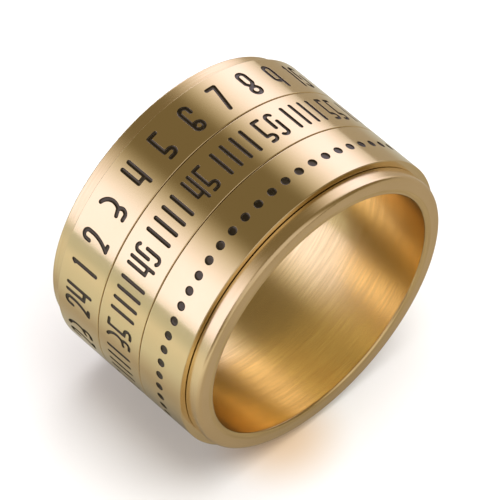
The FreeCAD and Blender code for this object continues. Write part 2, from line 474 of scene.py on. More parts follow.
@dataclass
class Mark:
    """A glyph at its place on a band: angle in degrees, and place along the axis."""

    glyph: Glyph
    angle: float
    y: float

    def shift(self, radius: float) -> Array:
        """Its middle on the unrolled cylinder: arc length, then place along the axis."""
        return np.array([math.radians(self.angle) * radius, self.y])

    def outlines(self, radius: float) -> list[Array]:
        """Outline loops on the unrolled cylinder."""
        return [loop + self.shift(radius) for loop in self.glyph.loops]

    def distance(self, places: Array, radius: float) -> Array:
        """How far unrolled places lie outside of the mark."""
        return self.glyph.distance(places - self.shift(radius))

    def reach(self, radius: float) -> Point:
        """First and last arc length that the mark covers."""
        spans = np.concatenate(self.outlines(radius))[:, 0]
        return spans.min(), spans.max()


@dataclass(frozen=True)
class Cut:
    """How an engraving meets the surface and how its enamel sits in it."""

    depth: float = 0.30
    rim: float = 0.055           # how low the enamel meets the wall
    dip: float = 0.05            # how much lower its middle has sunk
    dip_reach: float = 0.05
    clearance: float = 0.004     # between the enamel's side and the wall
    mesh: float = 0.06           # spacing of the enamel's inner points


def on_cylinder(place: Array, rise: float, radius: float) -> Vector:
    """Unrolled place wrapped on a cylinder, at a rise above it."""
    return polar(radius + rise, place[0] / radius, place[1])


def wrapped(direction: Array, place: Array, radius: float, up: float) -> Vector:
    """Unrolled direction wrapped on a cylinder, with a part that points outward."""
    angle = place[0] / radius
    along = Vector((math.cos(angle), 0, -math.sin(angle)))
    return (along * direction[0] + Vector((0, 1, 0)) * direction[1]
            + polar(1, angle, 0) * up).normalized()


def enamel_fill(skin: Skin, mark: Mark, cut: Cut, radius: float) -> None:
    """Adds one mark's enamel: a sunk glossy top, sides, and a flat underside.

    Args:
        skin: the surface that it is added to.
        mark: the mark.
        cut: the engraving's sizes.
        radius: the band's outside radius.
    """
    glyph, shift = mark.glyph, mark.shift(radius)
    inset = glyph.EDGE + cut.clearance
    loops = [loop - glyph.outward(loop) * inset for loop in glyph.loops]
    low = np.concatenate(loops).min(0)
    high = np.concatenate(loops).max(0)
    columns, rows = (np.arange(low[k], high[k], cut.mesh) for k in (0, 1))
    inner = np.stack(np.meshgrid(columns, rows), -1).reshape(-1, 2)
    inner = inner[glyph.distance(inner) < -cut.mesh / 2]
    sheet = Triangles.of(np.concatenate(loops + [inner]), loops)
    depth = np.maximum(-glyph.distance(sheet.places), 0)
    fall = np.exp(-depth / cut.dip_reach)
    facing = glyph.outward(sheet.places)
    tops, undersides, normals = [], [], []
    for place, drop, slope in zip(sheet.places + shift, 1 - fall, facing * fall[:, None]):
        tops.append(skin.point(on_cylinder(place, -cut.rim - cut.dip * drop, radius)))
        undersides.append(skin.point(on_cylinder(place, -cut.depth + cut.clearance, radius)))
        normals.append(wrapped(-slope * cut.dip / cut.dip_reach, place, radius, 1.0))
    for corners in sheet.inside:
        skin.face([tops[c] for c in corners], [normals[c] for c in corners])
        downs = [wrapped(np.zeros(2), sheet.places[c] + shift, radius, -1.0) for c in corners]
        skin.face([undersides[c] for c in corners], downs)
    for ring in sheet.rings:
        for a, b in zip(ring, ring[1:] + ring[:1]):
            side = [wrapped(facing[c], sheet.places[c] + shift, radius, 0.0) for c in (a, b, b, a)]
            skin.face([tops[a], tops[b], undersides[b], undersides[a]], side)


@dataclass
class Triangles:
    """Flat triangulation that keeps outline loops as edges."""

    places: Array
    inside: list[list[int]]      # triangles inside the outlines
    outside: list[list[int]]
    rings: list[list[int]]       # each loop's corners, in order

    @classmethod
    def of(cls, places: Array, loops: list[Array]) -> "Triangles":
        """Triangulates points of which the first are outline loops.

        Args:
            places: all points, with the loops' points first, in the loops' order.
            loops: the outline loops.

        Returns:
            The triangulation. Its rim is ragged, so the points reach past what is wanted.
        """
        chains, faces = [], []
        for loop in loops:
            start = chains[-1][-1] + 1 if chains else 0
            chains.append(list(range(start, start + len(loop))))
            following = np.roll(loop, -1, 0)
            turn = (loop[:, 0] * following[:, 1] - loop[:, 1] * following[:, 0]).sum()
            faces.append(chains[-1] if turn > 0 else chains[-1][::-1])
        whole_hull, nearest = 0, 1e-7   # keep every triangle; join points nearer than this
        found = delaunay_2d_cdt([Vector(p) for p in places], [], faces, whole_hull, nearest, True)
        _, _, triangles, came_from, _, in_faces = found
        now = {old: new for new, olds in enumerate(came_from) for old in olds}
        return cls(
            np.array([places[olds[0]] for olds in came_from]),
            [list(t) for t, f in zip(triangles, in_faces) if len(f) % 2],
            [list(t) for t, f in zip(triangles, in_faces) if len(f) % 2 == 0],
            [[now[c] for c in chain] for chain in chains],
        )


# --- Finishes ----------------------------------------------------------------------------

Colour = tuple[float, float, float, float]
Socket = bpy.types.NodeSocket


class Effect(Enum):
    """Surface effects that several finishes share."""

    BRUSHED = "brushed_lines"
    SCRATCHES = "fine_scratches"
    CLOUDS = "handling_marks"


class NodeTree:
    """Small helper that adds and links shader nodes."""

    def __init__(self, tree: bpy.types.NodeTree) -> None:
        """Wraps a node tree."""
        self.tree = tree

    def feed(self, socket: Socket, value: object) -> None:
        """Gives an input a value, or links it to an output socket."""
        if isinstance(value, Socket):
            self.tree.links.new(value, socket)
        else:
            socket.default_value = value

    def add(self, kind: str, inputs: dict | None = None, **settings: object) -> bpy.types.Node:
        """Adds a node.

        Args:
            kind: its type, such as ShaderNodeMath.
            inputs: values or output sockets for its inputs, by name or number.
            settings: values for its own properties.

        Returns:
            The node.
        """
        node = self.tree.nodes.new(kind)
        for key, value in settings.items():
            setattr(node, key, value)
        for key, value in (inputs or {}).items():
            self.feed(node.inputs[key], value)
        return node

    def here(self) -> Socket:
        """Place on the object, in metres."""
        return self.add("ShaderNodeTexCoord").outputs["Object"]

    def split(self, vector: Socket) -> list[Socket]:
        """X, Y and Z of a vector."""
        return list(self.add("ShaderNodeSeparateXYZ", {0: vector}).outputs)

    def scaled(self, vector: Socket, scale: object) -> Socket:
        """Vector times a number."""
        inputs = {0: vector, "Scale": scale}
        return self.add("ShaderNodeVectorMath", inputs, operation="SCALE").outputs[0]

    def math(self, operation: str, *values: object) -> Socket:
        """Result of a maths node."""
        return self.add("ShaderNodeMath", dict(enumerate(values)), operation=operation).outputs[0]

    def ramp(self, value: object, start: object, end: object, low: float = 0.0, high: float = 1.0,
             **settings: object) -> Socket:
        """Turns a value's way from start to end into low to high, and holds it outside of that.

        Args:
            value: the value.
            start: where it gives low.
            end: where it gives high.
            low: what it gives at the start.
            high: what it gives at the end.
            settings: values for the node's own properties.

        Returns:
            The result.
        """
        inputs = {"Value": value, "From Min": start, "From Max": end, "To Min": low, "To Max": high}
        return self.add("ShaderNodeMapRange", inputs, **settings).outputs[0]

    def spread(self, share: object, low: float, high: float) -> Socket:
        """A 0 to 1 share spread between two values."""
        return self.ramp(share, 0.0, 1.0, low, high)

    def blend(self, share: object, a: object, b: object) -> Socket:
        """Mix of two colours."""
        node = self.add("ShaderNodeMix", data_type="RGBA")
        for number, value in zip((0, 6, 7), (share, a, b)):
            self.feed(node.inputs[number], value)
        return node.outputs[2]

    def bump(self, height: Socket, distance: float, strength: float = 1.0,
             **settings: object) -> Socket:
        """Normal bent by a height, of which 1 stands for a distance in metres."""
        inputs = {"Strength": strength, "Distance": distance, "Height": height}
        return self.add("ShaderNodeBump", inputs, **settings).outputs[0]


def new_group(name: str, takes: tuple[str, ...], gives: tuple[str, ...]) -> bpy.types.NodeTree:
    """Empty node group with number sockets.

    Args:
        name: its name.
        takes: names of its inputs, each 1 until it is given.
        gives: names of its outputs.

    Returns:
        The group.
    """
    group = bpy.data.node_groups.new(name, "ShaderNodeTree")
    for label in takes:
        socket = group.interface.new_socket(label, in_out="INPUT", socket_type="NodeSocketFloat")
        socket.default_value = 1.0
    for label in gives:
        group.interface.new_socket(label, in_out="OUTPUT", socket_type="NodeSocketFloat")
    return group


def effect_group(effect: Effect) -> bpy.types.NodeTree:
    """Node group of an effect, built once.

    Args:
        effect: which one.

    Returns:
        The group. It puts out one value between 0 and 1, called Amount.
    """
    if effect.value in bpy.data.node_groups:
        return bpy.data.node_groups[effect.value]
    group = new_group(effect.value, ("Scale", "Contrast"), ("Amount",))
    nodes = NodeTree(group)
    given = nodes.add("NodeGroupInput").outputs
    level = {
        Effect.BRUSHED: brushed_level,
        Effect.SCRATCHES: scratch_level,
        Effect.CLOUDS: cloud_level,
    }[effect](nodes, nodes.here(), given["Scale"])
    centred = nodes.math("SUBTRACT", level, 0.5)
    strong = nodes.math("MULTIPLY_ADD", centred, given["Contrast"], 0.5)
    clamped = nodes.add("ShaderNodeClamp", {"Value": strong}).outputs[0]
    nodes.add("NodeGroupOutput", {"Amount": clamped})
    return group


def axis_distance(nodes: NodeTree, x: Socket, z: Socket) -> Socket:
    """Distance from the ring's axis."""
    return nodes.math("SQRT", nodes.math(
        "ADD", nodes.math("MULTIPLY", x, x), nodes.math("MULTIPLY", z, z)))


def brushed_level(nodes: NodeTree, place: Socket, scale: Socket) -> Socket:
    """Fine lines that run round the ring's axis, broken into long strokes."""
    strokes, lines = 260.0, 7000.0   # to the metre
    x, y, z = nodes.split(place)
    across = nodes.add("ShaderNodeCombineXYZ", {
        0: nodes.math("MULTIPLY", x, strokes),
        1: nodes.math("ADD", nodes.math("MULTIPLY", y, lines),
                      nodes.math("MULTIPLY", axis_distance(nodes, x, z), lines)),
        2: nodes.math("MULTIPLY", z, strokes)}).outputs[0]
    return nodes.add("ShaderNodeTexNoise", {
        "Vector": nodes.scaled(across, scale), "Scale": 1.0, "Detail": 3.0,
        "Roughness": 0.6}).outputs[0]


def scratch_level(nodes: NodeTree, place: Socket, scale: Socket) -> Socket:
    """Sparse hairline scratches left by handling: the edges of long, bent cells."""
    bends, bend = 700.0, 0.0016  # to the metre, and metres aside
    cells, tilt = (300.0, 4200.0, 900.0), (0.5, 0.3, 0.9)
    hair = 0.03                  # a hairline's share of a cell
    noise = nodes.add("ShaderNodeTexNoise", {"Vector": place, "Scale": bends, "Detail": 2.0})
    bent = nodes.add("ShaderNodeVectorMath", {
        0: place, 1: nodes.scaled(noise.outputs["Color"], bend)}, operation="ADD").outputs[0]
    stretched = nodes.add("ShaderNodeMapping", {
        "Vector": bent, "Rotation": tilt, "Scale": cells}).outputs[0]
    edges = nodes.add("ShaderNodeTexVoronoi", {
        "Vector": nodes.scaled(stretched, scale), "Scale": 1.0}, feature="DISTANCE_TO_EDGE")
    return nodes.ramp(edges.outputs[0], 0.0, hair, 1.0, 0.5)


def cloud_level(nodes: NodeTree, place: Socket, scale: Socket) -> Socket:
    """Soft patches, as left by fingers and by uneven polishing."""
    return nodes.add("ShaderNodeTexNoise", {
        "Vector": nodes.scaled(place, scale), "Scale": 260.0, "Detail": 5.0,
        "Roughness": 0.55}).outputs[0]


@dataclass(frozen=True)
class Recess:
    """Where a piece's narrow gaps lie, as radii and places along the axis, in millimetres, for
    painted shade.
    """

    deep: float
    shallow: float
    near: float = -100.0
    far: float = 100.0
    bore: float = 0.0

    GROUP = "recess_shade"
    LABELS = ("Deep", "Shallow", "Near", "Far", "Bore")

    def group(self) -> bpy.types.NodeTree:
        """Node group that tells open surface from narrow gaps, where shade is painted, built once.

        Returns:
            The group. Its Open is 0 at the Deep radius and 1 at the Shallow one, and 1 too inside
            the Bore radius and outside Near to Far along the axis. Its Inside is 1 in the bore,
            else 0.
        """
        if self.GROUP in bpy.data.node_groups:
            return bpy.data.node_groups[self.GROUP]
        group = new_group(self.GROUP, self.LABELS, ("Open", "Inside"))
        nodes = NodeTree(group)
        given = nodes.add("NodeGroupInput").outputs
        x, y, z = nodes.split(nodes.here())
        radius = axis_distance(nodes, x, z)
        depth = nodes.ramp(radius, given["Deep"], given["Shallow"])
        beside = nodes.math("MAXIMUM", nodes.math("LESS_THAN", y, given["Near"]),
                            nodes.math("GREATER_THAN", y, given["Far"]))
        inside = nodes.math("LESS_THAN", radius, given["Bore"])
        open_share = nodes.math("MAXIMUM", nodes.math("MAXIMUM", beside, inside), depth)
        nodes.add("NodeGroupOutput", {"Open": open_share, "Inside": inside})
        return group

    def shade(self, nodes: NodeTree) -> bpy.types.bpy_prop_collection:
        """Outputs of the group, placed in a material with these sizes."""
        sizes = {label: getattr(self, label.lower()) * MM for label in self.LABELS}
        return nodes.add("ShaderNodeGroup", sizes, node_tree=self.group()).outputs


@dataclass(frozen=True)
class Finish:
    """What every finish has: a name and a shader made from shared effects."""

    name: str

    def shader(self) -> tuple[bpy.types.Material, NodeTree, bpy.types.Node]:
        """New material, its nodes and its principled shader."""
        material = bpy.data.materials.new(self.name)
        material.use_nodes = True
        nodes = NodeTree(material.node_tree)
        return material, nodes, material.node_tree.nodes["Principled BSDF"]

    def effect(self, nodes: NodeTree, effect: Effect, scale: float, contrast: float) -> Socket:
        """Amount of a shared effect, with its own scale and contrast."""
        inputs = {"Scale": scale, "Contrast": contrast}
        node = nodes.add("ShaderNodeGroup", inputs, node_tree=effect_group(effect))
        return node.outputs["Amount"]


@dataclass(frozen=True)
class GoldPlate(Finish):
    """Gold-coloured plating over polished or brushed steel, with painted shade in its narrow gaps.
    """

    light: Colour = (0.90, 0.73, 0.41, 1)
    deep: Colour = (0.88, 0.70, 0.38, 1)
    rim_light: Colour | None = None   # outside of the bore, where it differs
    rim_deep: Colour | None = None
    # painted shade: colour laid where the recess mask finds a narrow gap or an engraving wall
    grime: Colour = (0.07, 0.04, 0.016, 1)
    smooth: float = 0.09
    rough: float = 0.16
    lines: float = 0.0           # depth of the brushed lines, in metres
    scratch: float = 4e-7        # depth of the hairline scratches, in metres
    recess: Recess = Recess(0.0, 1.0)

    CLOUD_CONTRAST = 2.0
    LINE_CONTRAST = 3.5
    LINE_COLOUR = 0.7            # share of the lines in the colour
    LINE_WEAR = 0.5              # and in the roughness
    RIM_LINES = 0.15             # how much of their depth is left outside

    def material(self) -> bpy.types.Material:
        """Builds the metal."""
        material, nodes, shader = self.shader()
        clouds = self.effect(nodes, Effect.CLOUDS, 1.0, self.CLOUD_CONTRAST)
        scratches = self.effect(nodes, Effect.SCRATCHES, 1.0, 1.0)
        gap = self.recess.shade(nodes)
        shade = clouds
        worn = nodes.math("MULTIPLY_ADD", nodes.math("SUBTRACT", scratches, 0.5), 0.5, clouds)
        if self.lines:
            brushed = self.effect(nodes, Effect.BRUSHED, 1.0, self.LINE_CONTRAST)
            rest = nodes.math("MULTIPLY", clouds, 1 - self.LINE_COLOUR)
            shade = nodes.math("MULTIPLY_ADD", brushed, self.LINE_COLOUR, rest)
            rest = nodes.math("MULTIPLY", worn, 1 - self.LINE_WEAR)
            worn = nodes.math("MULTIPLY_ADD", brushed, self.LINE_WEAR, rest)
            depth = nodes.spread(gap["Inside"], self.RIM_LINES, 1.0)
            normal = nodes.bump(nodes.math("MULTIPLY", brushed, depth), self.lines)
        else:
            normal = nodes.bump(scratches, self.scratch, invert=True)
        plating = nodes.blend(shade, self.light, self.deep)
        if self.rim_light:
            rim = nodes.blend(clouds, self.rim_light, self.rim_deep)
            plating = nodes.blend(gap["Inside"], rim, plating)
        # painted shade: the plating turns to the painted gap shade where the recess mask finds a
        # narrow gap
        nodes.feed(shader.inputs["Base Color"], nodes.blend(gap["Open"], self.grime, plating))
        nodes.feed(shader.inputs["Metallic"], 1.0)
        nodes.feed(shader.inputs["Roughness"], nodes.spread(worn, self.smooth, self.rough))
        nodes.feed(shader.inputs["Normal"], normal)
        return material


@dataclass(frozen=True)
class BlackEnamel(Finish):
    """Glossy black resin, a little dull where dust and polish have settled in it."""

    colour: Colour = (0.002, 0.0018, 0.0016, 1)
    dusty: Colour = (0.006, 0.0048, 0.0034, 1)
    smooth: float = 0.16
    rough: float = 0.28
    gloss: float = 0.9
    gloss_tint: Colour = (1.0, 0.81, 0.54, 1)
    unevenness: float = 4e-6     # of its top, in metres
    bend: float = 0.5            # share of it in the normal

    CLOUD_SCALE = 6.0
    CLOUD_CONTRAST = 2.2

    def material(self) -> bpy.types.Material:
        """Builds the resin."""
        material, nodes, shader = self.shader()
        clouds = self.effect(nodes, Effect.CLOUDS, self.CLOUD_SCALE, self.CLOUD_CONTRAST)
        nodes.feed(shader.inputs["Base Color"], nodes.blend(clouds, self.colour, self.dusty))
        nodes.feed(shader.inputs["Roughness"], nodes.spread(clouds, self.smooth, self.rough))
        nodes.feed(shader.inputs["Specular IOR Level"], self.gloss)
        nodes.feed(shader.inputs["Specular Tint"], self.gloss_tint)
        nodes.feed(shader.inputs["Normal"], nodes.bump(clouds, self.unevenness, self.bend))
        return material


@dataclass(frozen=True)
class StudioPaper(Finish):
    """Matt white sheet that the ring stands on: burnt out to the eye, calmer in reflections, with
    painted light and shade on it.

    Places on it are in millimetres. It can't be seen from below.
    """

    seen: Colour = (0.64, 0.63, 0.61, 1)
    # painted light: an even glow to the eye, which lifts the paper's shadows
    seen_glow: Colour = (0.20, 0.195, 0.18, 1)
    warm: Colour = (0.57, 0.43, 0.29, 1)   # painted warm shadow, tinted as if by gold light from the ring
    warm_glow: Colour = (0.18, 0.135, 0.09, 1)
    warm_spot: tuple[float, float, float] = (-2.9, -6.2, -11.35)
    warm_reach: Point = (5.5, 0.5)   # from none of it to all of it
    # in reflections: the paper inside the painted pool of light, and its painted even glow
    reflected: Colour = (0.30, 0.31, 0.28, 1)
    reflected_glow: Colour = (0.10, 0.10, 0.085, 1)
    dim: Colour = (0.19, 0.16, 0.13, 1)   # painted shade: in front, at the far right, and in the painted shadow
    bright: Colour = (0.42, 0.40, 0.36, 1)   # painted light, in a strip at the left
    front: Point = (-6.0, 7.0)   # y from painted shade to the painted pool of light
    right: Point = (46.0, 14.0)  # x from painted shade to the painted pool of light
    # painted shadow and painted strip of light in reflections: middle and half-width along x
    shadow_x: float = -17.0
    shadow_half: float = 9.0
    bright_x: float = -48.0
    bright_half: float = 32.0

    def material(self) -> bpy.types.Material:
        """Builds the paper."""
        material, nodes, shader = self.shader()
        to_eye = nodes.add("ShaderNodeLightPath").outputs["Is Camera Ray"]
        # painted warm shadow near the ring's front end, to the eye
        warmth = self.warmth(nodes)
        seen = nodes.blend(warmth, self.seen, self.warm)
        seen_glow = nodes.blend(warmth, self.seen_glow, self.warm_glow)
        nodes.feed(shader.inputs["Base Color"], nodes.blend(to_eye, self.mirrored(nodes), seen))
        nodes.feed(shader.inputs["Emission Color"],
                   nodes.blend(to_eye, self.reflected_glow, seen_glow))
        nodes.feed(shader.inputs["Emission Strength"], 1.0)
        nodes.feed(shader.inputs["Roughness"], 0.95)
        nodes.feed(shader.inputs["Specular IOR Level"], 0.0)
        underside = nodes.add("ShaderNodeNewGeometry").outputs["Backfacing"]
        nodes.feed(shader.inputs["Alpha"], nodes.math("SUBTRACT", 1.0, underside))
        return material

    def warmth(self, nodes: NodeTree) -> Socket:
        """How much of the painted warm shadow, tinted as if by the ring's thrown light, lies on
        each place.
        """
        spot = tuple(c * MM for c in self.warm_spot)
        away = nodes.add("ShaderNodeVectorMath", {0: nodes.here(), 1: spot}, operation="DISTANCE")
        none, full = self.warm_reach
        return nodes.ramp(away.outputs["Value"], none * MM, full * MM,
                          interpolation_type="SMOOTHSTEP")

    def mirrored(self, nodes: NodeTree) -> Socket:
        """Colour that polished metal sees of each place: a painted pool of light, a painted shadow
        and a painted strip of light.
        """
        x, y, _ = nodes.split(nodes.here())
        behind = nodes.ramp(y, self.front[0] * MM, self.front[1] * MM)
        aside = nodes.ramp(x, self.right[0] * MM, self.right[1] * MM)
        from_shadow = nodes.math("ABSOLUTE", nodes.math("SUBTRACT", x, self.shadow_x * MM))
        clear = nodes.ramp(from_shadow, 0.0, self.shadow_half * MM)
        # painted pool of light, cut by the painted shadow
        painted_pool = nodes.math("MULTIPLY", nodes.math("MULTIPLY", behind, aside), clear)
        from_bright = nodes.math("ABSOLUTE", nodes.math("SUBTRACT", x, self.bright_x * MM))
        # painted strip of light at the left
        lit = nodes.ramp(from_bright, 0.0, self.bright_half * MM, 1.0, 0.0)
        return nodes.blend(lit, nodes.blend(painted_pool, self.dim, self.reflected), self.bright)


# --- Sub-assemblies ----------------------------------------------------------------------

SLEEVE_COLUMNS = 400             # steps round the sleeve and its collar


def span_of(node: str) -> tuple[float, float, float]:
    """Outer radius, start and end along the axis of a round CAD node, in millimetres."""
    low, high = (Vector(corner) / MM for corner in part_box(node))
    return high.z, low.y, high.y


def even_columns(count: int) -> list[float]:
    """Angles of evenly spaced columns all round, in radians."""
    return [math.tau * k / count for k in range(count)]


def turned(name: str, corners: list[Corner], finish: GoldPlate, slot: str,
           node: str) -> bpy.types.Object:
    """Makes a plain turned piece that stays with the sleeve.

    Args:
        name: its name.
        corners: its section.
        finish: its metal.
        slot: the name of its material slot, passed on but not used.
        node: the CAD node that it stands for.

    Returns:
        The piece.
    """
    skin = Skin(name)
    turn_round(skin, Profile(corners), even_columns(SLEEVE_COLUMNS))
    return skin.made(finish.material(), "sleeve", slot, node)


@dataclass
class Sleeve:
    """Bored tube with its own flange at the front, on which the bands turn."""

    wall: float = 0.65
    spigot_step: float = 0.15
    flange_rise: float = 0.70
    flange_gap: float = 0.045    # between the flange and the first band
    collar_width: float = 1.05
    bore_round: float = 0.2
    end_round: float = 0.34
    inner_round: float = 0.03
    seam_break: float = 0.04

    def build(self) -> bpy.types.Object:
        """Makes the sleeve."""
        outer, front, back = span_of("inner_sleeve")
        seat = outer - self.flange_rise
        bore = seat - self.wall
        spigot = seat - self.spigot_step
        shoulder = back - self.collar_width
        flange_end = span_of("dot_band")[1] - self.flange_gap
        # painted shade in the groove by the flange, on the seat and the lower flange wall
        recess = Recess(deep=seat - 0.05, shallow=seat + 0.25, near=flange_end - 0.03,
                        bore=seat - 0.2)
        finish = GoldPlate("brushed_gold", smooth=0.17, rough=0.27, lines=2.6e-7, recess=recess,
                           light=(0.97, 0.76, 0.375, 1), deep=(0.81, 0.605, 0.285, 1),
                           rim_light=(0.95, 0.745, 0.42, 1), rim_deep=(0.90, 0.695, 0.375, 1),
                           grime=(0.30, 0.17, 0.07, 1))
        return turned("sleeve_body", [
            Corner(outer, front, self.end_round),
            Corner(outer, flange_end, self.inner_round),
            Corner(seat, flange_end),
            Corner(seat, shoulder),
            Corner(spigot, shoulder),
            Corner(spigot, back, self.seam_break),
            Corner(bore, back, self.bore_round),
            Corner(bore, front, self.bore_round),
        ], finish, "sleeve_metal", "inner_sleeve")


@dataclass
class Collar:
    """Ring pressed on the sleeve's spigot, which keeps the bands on."""

    spigot_radius: float = 10.0
    end_round: float = 0.12
    inner_round: float = 0.2
    seam_break: float = 0.04

    def build(self) -> bpy.types.Object:
        """Makes the collar."""
        outer, front, back = span_of("end_collar")
        finish = GoldPlate("satin_gold", smooth=0.16, rough=0.26, lines=1.0e-6,
                           deep=(0.86, 0.66, 0.35, 1))
        return turned("collar_body", [
            Corner(outer, front, self.inner_round),
            Corner(outer, back, self.end_round),
            Corner(self.spigot_radius, back, self.seam_break),
            Corner(self.spigot_radius, front),
        ], finish, "collar_metal", "end_collar")


@dataclass
class Band:
    """Polished ring with engraved, enamel-filled marks round its outside."""

    body: str = ""
    wall: float = 1.14
    edge_round: float = 0.07
    columns: int = 360
    row_gap: float = 0.4         # between the surface's inner points, along the axis
    keep_off: float = 0.05       # least distance from such a point to a mark
    mark_reach: float = 2.0      # more than the half-width of any mark
    slack: float = 1e-6
    cut: Cut = field(default_factory=Cut)
    fills: dict[str, list[Mark]] = field(default_factory=dict)

    def __post_init__(self) -> None:
        """Takes its place from the frame and lays out its marks."""
        self.radius, self.start, self.end = span_of(self.body)
        self.middle = (self.start + self.end) / 2
        self.fills = self.layout()

    def layout(self) -> dict[str, list[Mark]]:
        """Marks of each enamel node."""
        raise NotImplementedError

    def degrees(self, arc: float) -> float:
        """Angle that a length round the surface spans."""
        return math.degrees(arc / self.radius)

    def numerals(self, prefix: str, font: DigitFont,
                 angles: dict[int, float]) -> dict[str, list[Mark]]:
        """Marks of all numerals.

        Args:
            prefix: what the names of their enamel nodes begin with.
            font: their figures.
            angles: the angle of each numeral's middle.

        Returns:
            The marks of each enamel node.
        """
        glyphs = {digit: font.glyph(digit) for digit in range(10)}
        return {
            f"{prefix}_numeral_{value:02d}": [
                Mark(glyphs[digit], angle + self.degrees(offset), self.middle)
                for digit, offset in font.places(value)]
            for value, angle in angles.items()}

    def even_gaps(self, values: range, font: DigitFont, between: float,
                  anchor: tuple[int, float]) -> dict[int, float]:
        """Angles of numerals with the same space after every one.

        Args:
            values: the numerals, in order.
            font: their figures.
            between: degrees of other marks between two numerals.
            anchor: one numeral and its angle.

        Returns:
            The angle of each numeral's middle.
        """
        widths = {value: self.degrees(font.width(value)) for value in values}
        space = (360 - sum(widths.values()) - between * len(widths)) / len(widths)
        at, angles = 0.0, {}
        for value, width in widths.items():
            angles[value] = at + width / 2
            at += width + between + space
        turn = anchor[1] - angles[anchor[0]]
        return {value: angle + turn for value, angle in angles.items()}

    def build(self) -> list[bpy.types.Object]:
        """Makes the band and its enamel."""
        # painted shade on the broken edges and walls of the engravings, down from just under the
        # surface
        finish = GoldPlate("polished_gold", recess=Recess(
            deep=self.radius - 0.016, shallow=self.radius - 0.001,
            near=self.start + 0.1, far=self.end - 0.1))
        enamel = BlackEnamel("black_enamel").material()
        made = [self.metal().made(finish.material(), self.body, "band_metal", self.body)]
        for node, marks in self.fills.items():
            skin = Skin(node + "_fill")
            for mark in marks:
                enamel_fill(skin, mark, self.cut, self.radius)
            made.append(skin.made(enamel, self.body, "enamel", node))
        return made

    def metal(self) -> Skin:
        """The band's own surface: engraved outside, rounded edges, plain bore."""
        marks = sorted((m for ms in self.fills.values() for m in ms), key=lambda m: m.angle)
        round_length = math.tau * self.radius
        first = marks[0].reach(self.radius)[0]
        last = max(mark.reach(self.radius)[1] for mark in marks) - round_length
        seam = (first + last) / 2
        sheet, facing = self.engraved_sheet(marks, seam)
        skin = Skin(self.body + "_metal")
        top = [skin.point(on_cylinder(p, 0, self.radius)) for p in sheet.places]
        for corners in sheet.outside:
            normals = [on_cylinder(sheet.places[c], 0, self.radius) for c in corners]
            skin.face([top[c] for c in corners], [Vector((n.x, 0, n.z)) for n in normals])
        self.pockets(skin, sheet, facing, top)
        step = math.tau * self.radius / self.columns
        columns = [(seam + step * k) / self.radius for k in range(self.columns)]
        bore = self.radius - self.wall
        turn_round(skin, Profile([
            Corner(self.radius, self.end - self.edge_round),
            Corner(self.radius, self.end, self.edge_round),
            Corner(bore, self.end, self.edge_round),
            Corner(bore, self.start, self.edge_round),
            Corner(self.radius, self.start, self.edge_round),
            Corner(self.radius, self.start + self.edge_round),
        ], closed=False), columns)
        return skin

    def engraved_sheet(self, marks: list[Mark], seam: float) -> tuple[Triangles, Array]:
        """Triangulates the unrolled outside, with the marks' outlines as edges.

        Args:
            marks: the marks.
            seam: arc length at which the surface is slit to be unrolled.

        Returns:
            The triangulation, and at each outline point the direction away from its mark.
        """
        loops = [loop for mark in marks for loop in mark.outlines(self.radius)]
        facing = [mark.glyph.outward(loop) for mark in marks for loop in mark.glyph.loops]
        step = math.tau * self.radius / self.columns
        across = seam + step * np.arange(-1, self.columns + 2)
        low, high = self.start + self.edge_round, self.end - self.edge_round
        rows = max(2, round((high - low) / self.row_gap))
        along = low + (high - low) / rows * np.arange(-1, rows + 2)
        grid = np.stack(np.meshgrid(across, along, indexing="ij"), -1).reshape(-1, 2)
        clear = np.ones(len(grid), bool)
        for mark in marks:
            aside = np.abs(grid[:, 0] - mark.shift(self.radius)[0])
            spots = np.nonzero(aside < self.mark_reach)[0]
            clear[spots] &= mark.distance(grid[spots], self.radius) > self.keep_off
        sheet = Triangles.of(np.concatenate(loops + [grid[clear]]), loops)
        lowest = np.array([across[1], along[1]]) - self.slack
        highest = np.array([across[-2], along[-2]]) + self.slack
        kept = ((sheet.places > lowest) & (sheet.places < highest)).all(1)
        sheet.outside = [corners for corners in sheet.outside if kept[corners].all()]
        directions = np.zeros_like(sheet.places)
        for ring, away in zip(sheet.rings, facing):
            directions[ring] = away
        return sheet, directions

    def pockets(self, skin: Skin, sheet: Triangles, facing: Array, top: list[int]) -> None:
        """Adds the broken edge, wall and floor of every engraving.

        Args:
            skin: the surface that they are added to.
            sheet: the unrolled outside.
            facing: at each outline point, the direction away from its mark.
            top: the surface's index of each of the sheet's points.
        """
        walls, floors = {}, {}
        for ring in sheet.rings:
            for c in ring:
                place = sheet.places[c] - facing[c] * Glyph.EDGE
                walls[c] = skin.point(on_cylinder(place, -Glyph.EDGE, self.radius))
                floors[c] = skin.point(on_cylinder(place, -self.cut.depth, self.radius))
            for a, b in zip(ring, ring[1:] + ring[:1]):
                up = [wrapped(np.zeros(2), sheet.places[c], self.radius, 1.0) for c in (a, b)]
                into = [wrapped(-facing[c], sheet.places[c], self.radius, 0.0) for c in (a, b)]
                half = [(u * 0.5 + n).normalized() for u, n in zip(up, into)]
                skin.face([top[a], top[b], walls[b], walls[a]], [up[0], up[1], half[1], half[0]])
                skin.face([walls[a], walls[b], floors[b], floors[a]],
                          [into[0], into[1], into[1], into[0]])
        for corners in sheet.inside:
            ups = [wrapped(np.zeros(2), sheet.places[c], self.radius, 1.0) for c in corners]
            skin.face([floors[c] for c in corners], ups)


@dataclass
class CountBand(Band):
    """Band numbered 1 to 24."""

    body: str = "count_band"
    font: DigitFont = DigitFont(0.92, 2.35, 0.29, 0.27)
    last: int = 24
    anchor: tuple[int, float] = (5, -18.6)

    def layout(self) -> dict[str, list[Mark]]:
        """One enamel node for each numeral."""
        angles = self.even_gaps(range(1, self.last + 1), self.font, 0.0, self.anchor)
        return self.numerals("count", self.font, angles)


